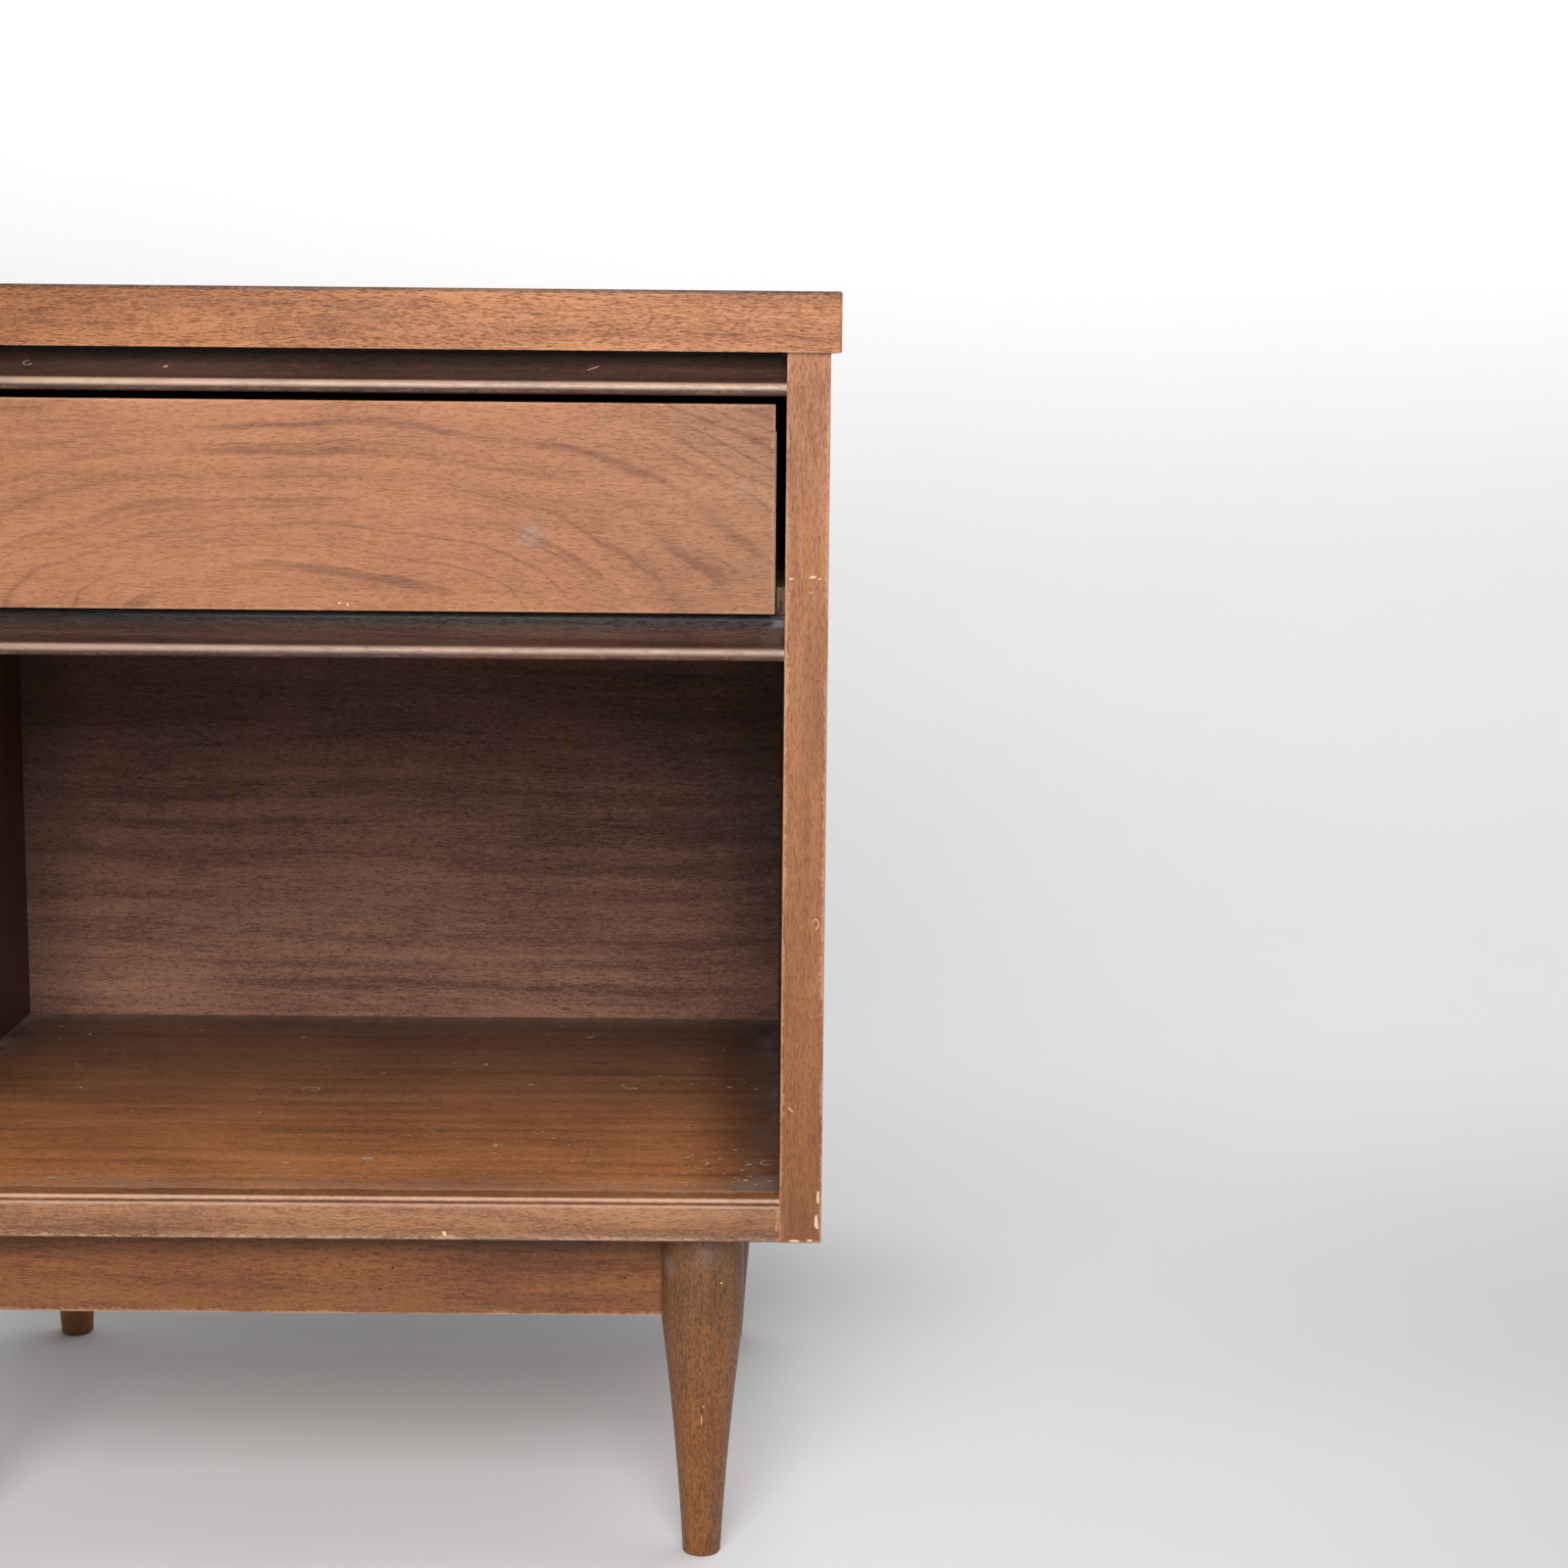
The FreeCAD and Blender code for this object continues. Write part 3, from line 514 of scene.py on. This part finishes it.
PROUD = 0.00005                    # a mark above the surface it lies on
STAND_OFF = 0.05                   # where the look for that surface starts


def place_object(name, data):
    made = bpy.data.objects.new(name, data)
    bpy.context.scene.collection.objects.link(made)
    return made


def blot(rng, width, height):
    """An irregular closed outline about the origin, as one polygon."""
    corners, least, most = 9, 0.6, 1.1
    outline = []
    for i in range(corners):
        a = math.tau * i / corners
        x = math.cos(a) * width / 2 * rng.uniform(least, most)
        y = math.sin(a) * height / 2 * rng.uniform(least, most)
        outline.append((x, y))
    return [outline]


def ring(rng, width, height):
    """The worn parts of a ring, as quads; about a quarter of it is missing."""
    corners, thickness = 20, 0.16
    quads = []
    gap = rng.randrange(corners)
    for i in range(corners):
        if (i - gap) % corners < corners // 4:
            continue
        pair = [math.tau * k / corners for k in (i, i + 1)]
        outer = [(math.cos(a) * width / 2, math.sin(a) * height / 2) for a in pair]
        inner = [(x * (1 - thickness), y * (1 - thickness)) for x, y in reversed(outer)]
        quads.append(outer + inner)
    return quads


def marks(name, body, paint, spec):
    """One mesh of flat marks lying on CAD surfaces, as a piece that rides its body.

    A spec row is the node, a point near its surface, the way to look, the outline's maker, its
    width and height, and its turn in degrees.
    """
    rng = random.Random(name)
    shape = bmesh.new()
    for node, point, look, outline, width, height, turn in spec:
        look = Vector(look)
        hit, place, normal, _ = frame["nodes"][node].ray_cast(Vector(point) - look * STAND_OFF, look)
        if not hit:
            raise ValueError(f"{name}: nothing of {node} behind {tuple(point)}")
        side = Vector((1, 0, 0)) - normal * normal.x
        if side.length < 0.5:    # the surface faces sideways
            side = Vector((0, 1, 0))
        side.normalize()
        side.rotate(Matrix.Rotation(math.radians(turn), 3, normal))
        up = normal.cross(side)
        for polygon in outline(rng, width, height):
            corners = [shape.verts.new(place + normal * PROUD + side * u + up * v) for u, v in polygon]
            shape.faces.new(corners)
    mesh = bpy.data.meshes.new(name)
    shape.to_mesh(mesh)
    shape.free()
    mesh.materials.append(paint)
    made = place_object(name, mesh)
    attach(made, body)


def scatter(name, node, low, high, look, count, sizes):
    """Small blots at seeded random places on a surface between two points."""
    rng = random.Random(name)
    rows = []
    for _ in range(count):
        point = [rng.uniform(a, b) for a, b in zip(low, high)]
        size = rng.uniform(*sizes)
        rows.append((node, point, look, blot, size * rng.uniform(1.0, 2.6), size, rng.uniform(-20, 20)))
    return rows


def mark_paint(name, tone, other, roughness):
    """A matt material mottled between two tones."""
    g = Graph(name)
    mottle = g.spots(1100.0)
    g.feed(g.shader.inputs["Base Color"], g.mix(mottle, colour(*tone), colour(*other)))
    g.feed(g.shader.inputs["Roughness"], g.math("MULTIPLY_ADD", mottle, 0.2, roughness))
    return g.material


AWAY, DOWN = (0, 1, 0), (0, 0, -1)
SHELF_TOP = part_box("bottom_shelf")[1].z


def on_panel(across, up, outline, width, height, turn=0):
    """A mark on the right panel's front edge, from its inner arris and its lower end."""
    inner, front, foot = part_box("side_panel_right")[0]
    return ("side_panel_right", (inner + across, front, foot + up), AWAY, outline, width, height, turn)


def on_shelf(x, y, outline, width, height, turn=0):
    return ("bottom_shelf", (x, y, SHELF_TOP), DOWN, outline, width, height, turn)


def on_apron(x, up):
    """A pin hole in the front apron, up from its lower edge."""
    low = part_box("apron_front")[0]
    return ("apron_front", (x, low.y, low.z + up), AWAY, blot, 0.0013, 0.0012, 0)


nick_paint = mark_paint("bare_nick", (232, 200, 172), (206, 160, 126), 0.7)
dust_paint = mark_paint("settled_dust", (222, 204, 184), (178, 154, 130), 0.9)
hole_paint = mark_paint("pin_hole_dark", (40, 26, 20), (24, 16, 12), 0.8)
marks("case_nicks", "case", nick_paint, [
    on_panel(0.0025, 0.3000, blot, 0.0030, 0.0009), on_panel(0.0120, 0.3008, blot, 0.0034, 0.0016),
    on_panel(0.0150, 0.3000, blot, 0.0016, 0.0010), on_panel(0.0020, 0.2935, blot, 0.0010, 0.0005),
    on_panel(0.0110, 0.2940, blot, 0.0018, 0.0004), on_panel(0.0008, 0.1927, ring, 0.0014, 0.0014),
    on_panel(0.0150, 0.1470, ring, 0.0030, 0.0044), on_panel(0.0048, 0.0620, blot, 0.0050, 0.0006, -48),
    on_panel(0.0168, 0.0100, blot, 0.0022, 0.0090), on_panel(0.0174, 0.0220, blot, 0.0014, 0.0080),
    on_panel(0.0066, 0.0012, blot, 0.0070, 0.0014), on_panel(0.0140, 0.0014, blot, 0.0030, 0.0013),
    ("shelf_front_rail", (0.0630, -0.181, 0.1630), AWAY, blot, 0.0022, 0.0030, 20),
    ("upper_rail", (-0.1160, -0.181, 0.5500), AWAY, ring, 0.0040, 0.0024, 10),
    ("upper_rail", (-0.0560, -0.181, 0.5490), AWAY, blot, 0.0030, 0.0012, 15),
    ("upper_rail", (0.1300, -0.181, 0.5500), AWAY, blot, 0.0080, 0.0006, 24),
    ("leg_front_right", (0.1880, -0.181, 0.1360), AWAY, blot, 0.0012, 0.0012, 0),
    ("leg_front_right", (0.1800, -0.181, 0.0760), AWAY, blot, 0.0010, 0.0010, 0),
    ("leg_front_right", (0.1790, -0.181, 0.0690), AWAY, blot, 0.0005, 0.0060, 0),
])
marks("case_dust", "case", dust_paint, [
    on_shelf(0.170, 0.022, ring, 0.0050, 0.0050), on_shelf(0.182, 0.022, ring, 0.0050, 0.0050),
    on_shelf(0.2085, -0.122, ring, 0.0070, 0.0080), on_shelf(-0.017, -0.128, blot, 0.0045, 0.0030),
    on_shelf(-0.027, 0.006, ring, 0.0090, 0.0080), on_shelf(-0.145, 0.005, blot, 0.0020, 0.0030),
    on_shelf(-0.168, 0.120, blot, 0.0022, 0.0030), on_shelf(0.058, 0.060, blot, 0.0025, 0.0035),
    on_shelf(0.078, -0.096, blot, 0.0030, 0.0050), on_shelf(-0.120, -0.155, blot, 0.0060, 0.0016),
    on_shelf(0.020, -0.120, blot, 0.0060, 0.0040),
    *scatter("shelf_specks", "bottom_shelf", (-0.205, -0.165, 0.18), (0.205, 0.150, 0.18), DOWN, 70,
             (0.0008, 0.0019)),
    *scatter("corner_specks", "bottom_shelf", (0.150, -0.165, 0.18), (0.211, -0.090, 0.18), DOWN, 26,
             (0.0008, 0.0019)),
    *scatter("worn_specks", "bottom_shelf", (0.030, -0.140, 0.18), (0.130, -0.070, 0.18), DOWN, 40,
             (0.0007, 0.0015)),
])
marks("case_pin_holes", "case", hole_paint, [
    on_apron(0.011, 0.0235), on_apron(0.035, 0.0220), on_apron(0.029, 0.0115), on_apron(0.068, 0.0095),
    on_apron(0.143, 0.0180), on_apron(0.146, 0.0070)])
marks("drawer_nicks", "drawer", nick_paint, [
    ("drawer_front", (0.0200, -0.181, 0.4478), AWAY, blot, 0.0014, 0.0012, 0),
    ("drawer_front", (0.0235, -0.181, 0.4472), AWAY, blot, 0.0012, 0.0014, 0),
    ("drawer_front", (0.1600, -0.181, 0.5345), AWAY, blot, 0.0016, 0.0006, 0)])


# ---------------------------------------------------------------- floor, light and camera

# Painted shade in the floor's paper: a painted shadow under the case, and a darker patch far to its right
# (centre, reach, level).
PAINTED_SHADOW_POOLS = (((0.0, 0.235, 0.0), (0.33, 0.185, 0.185), 0.56),
         ((0.95, -0.10, 0.0), (0.80, 0.80, 0.80), 0.80))
# Where the paper glows, brighter to the back and far in front (axis, start, end, strength).
GLOWS = (("Z", 0.0, 0.30, 0.10), ("Z", 0.25, 0.90, 0.36), ("Y", -1.6, -2.8, 0.40), ("Y", 0.2, 1.2, 0.13),
         ("Y", 0.14, -0.06, 0.05))

CASE_FRONT = (0.0, -0.18, 0.36)
# Softboxes: name, place, aim, width, height, watts, spread in degrees.
SOFTBOXES = (("low_key", (0.10, -1.60, 0.95), CASE_FRONT, 1.0, 0.5, 7.2, 120),
             ("high_key", (0.10, -1.30, 1.22), CASE_FRONT, 1.0, 0.5, 4.2, 120),
             ("overhead", (1.15, 0.3, 2.3), (0.85, 0.35, 0.0), 1.8, 1.8, 19, 180))
FILL = 0.2

# The camera, fitted to the photo's straight edges: degrees and millimetres of lens.
CAMERA = dict(place=(0.20816, -1.40475, 0.55477), pitch=8.60, roll=0.54, yaw=-0.29, lens=64.56)
SENSOR_WIDTH = 36.0


def paper():
    g = Graph("studio_paper")
    shade = g.mix(g.spots(3.0, 3.0), colour(220, 220, 222), colour(226, 226, 228))
    # painted shadows multiplied into the paper's colour
    for centre, reach, level in PAINTED_SHADOW_POOLS:
        off = g.vector("DIVIDE", g.vector("SUBTRACT", g.place, centre), reach)
        pool = g.mix(g.span(g.vector("LENGTH", off), 0.2, 1.2), tint(level), tint(1.0))
        shade = g.mix(1.0, shade, pool, "MULTIPLY")
    g.feed(g.shader.inputs["Base Color"], shade)
    axes = dict(zip("XYZ", g.split(g.place)))
    glow = 0.0
    for axis, start, end, strength in GLOWS:
        glow = g.math("ADD", glow, g.span(axes[axis], start, end, 0.0, strength))
    g.feed(g.shader.inputs["Emission Strength"], glow)
    g.shader.inputs["Emission Color"].default_value = (1.0, 1.0, 1.0, 1.0)
    g.shader.inputs["Roughness"].default_value = 0.9
    return g.material


def sweep():
    """A pale floor that curves up into a backdrop behind the object."""
    front, back, rise, radius, half_width = -6.0, 1.6, 4.0, 0.8, 7.0
    steps = 24
    line = [(front, 0.0), (back - radius, 0.0)]
    for i in range(1, steps + 1):
        a = math.pi / 2 * i / steps
        line.append((back - radius + radius * math.sin(a), radius - radius * math.cos(a)))
    line.append((back, rise))
    verts = [(x, y, z) for y, z in line for x in (-half_width, half_width)]
    faces = [(2 * i, 2 * i + 1, 2 * i + 3, 2 * i + 2) for i in range(len(line) - 1)]
    mesh = bpy.data.meshes.new("studio_sweep")
    mesh.from_pydata(verts, [], faces)
    for face in mesh.polygons:
        face.use_smooth = True
    mesh.materials.append(paper())
    place_object("studio_sweep", mesh)


def softbox(name, place, aim, width, height, power, spread):
    data = bpy.data.lights.new(name, "AREA")
    data.shape, data.size, data.size_y = "RECTANGLE", width, height
    data.energy, data.spread = power, math.radians(spread)
    made = place_object(name, data)
    made.location = place
    made.rotation_euler = (Vector(aim) - Vector(place)).to_track_quat("-Z", "Y").to_euler()
    made.visible_camera = False


def world(strength):
    """Even white light from all round."""
    made = bpy.data.worlds.new("studio")
    bpy.context.scene.world = made
    made.use_nodes = True
    background = made.node_tree.nodes["Background"]
    background.inputs["Color"].default_value = (1.0, 1.0, 1.0, 1.0)
    background.inputs["Strength"].default_value = strength


def camera(place, pitch, roll, yaw, lens):
    """A camera that looks along +Y, tipped down by pitch, rolled and turned (degrees)."""
    pitch, roll, yaw = (math.radians(a) for a in (pitch, roll, yaw))
    forward = Vector((-math.sin(yaw) * math.cos(pitch), math.cos(yaw) * math.cos(pitch), -math.sin(pitch)))
    right = forward.cross(Vector((0, 0, 1))).normalized()
    up = right.cross(forward)
    right, up = (right * math.cos(roll) + up * math.sin(roll), up * math.cos(roll) - right * math.sin(roll))
    data = bpy.data.cameras.new("camera")
    data.lens, data.sensor_width = lens, SENSOR_WIDTH
    made = place_object("camera", data)
    made.matrix_world = Matrix.Translation(place) @ Matrix((right, up, -forward)).transposed().to_4x4()
    bpy.context.scene.camera = made


sweep()
world(FILL)
for box in SOFTBOXES:
    softbox(*box)
camera(**CAMERA)
bpy.context.scene.view_settings.view_transform = "Standard"
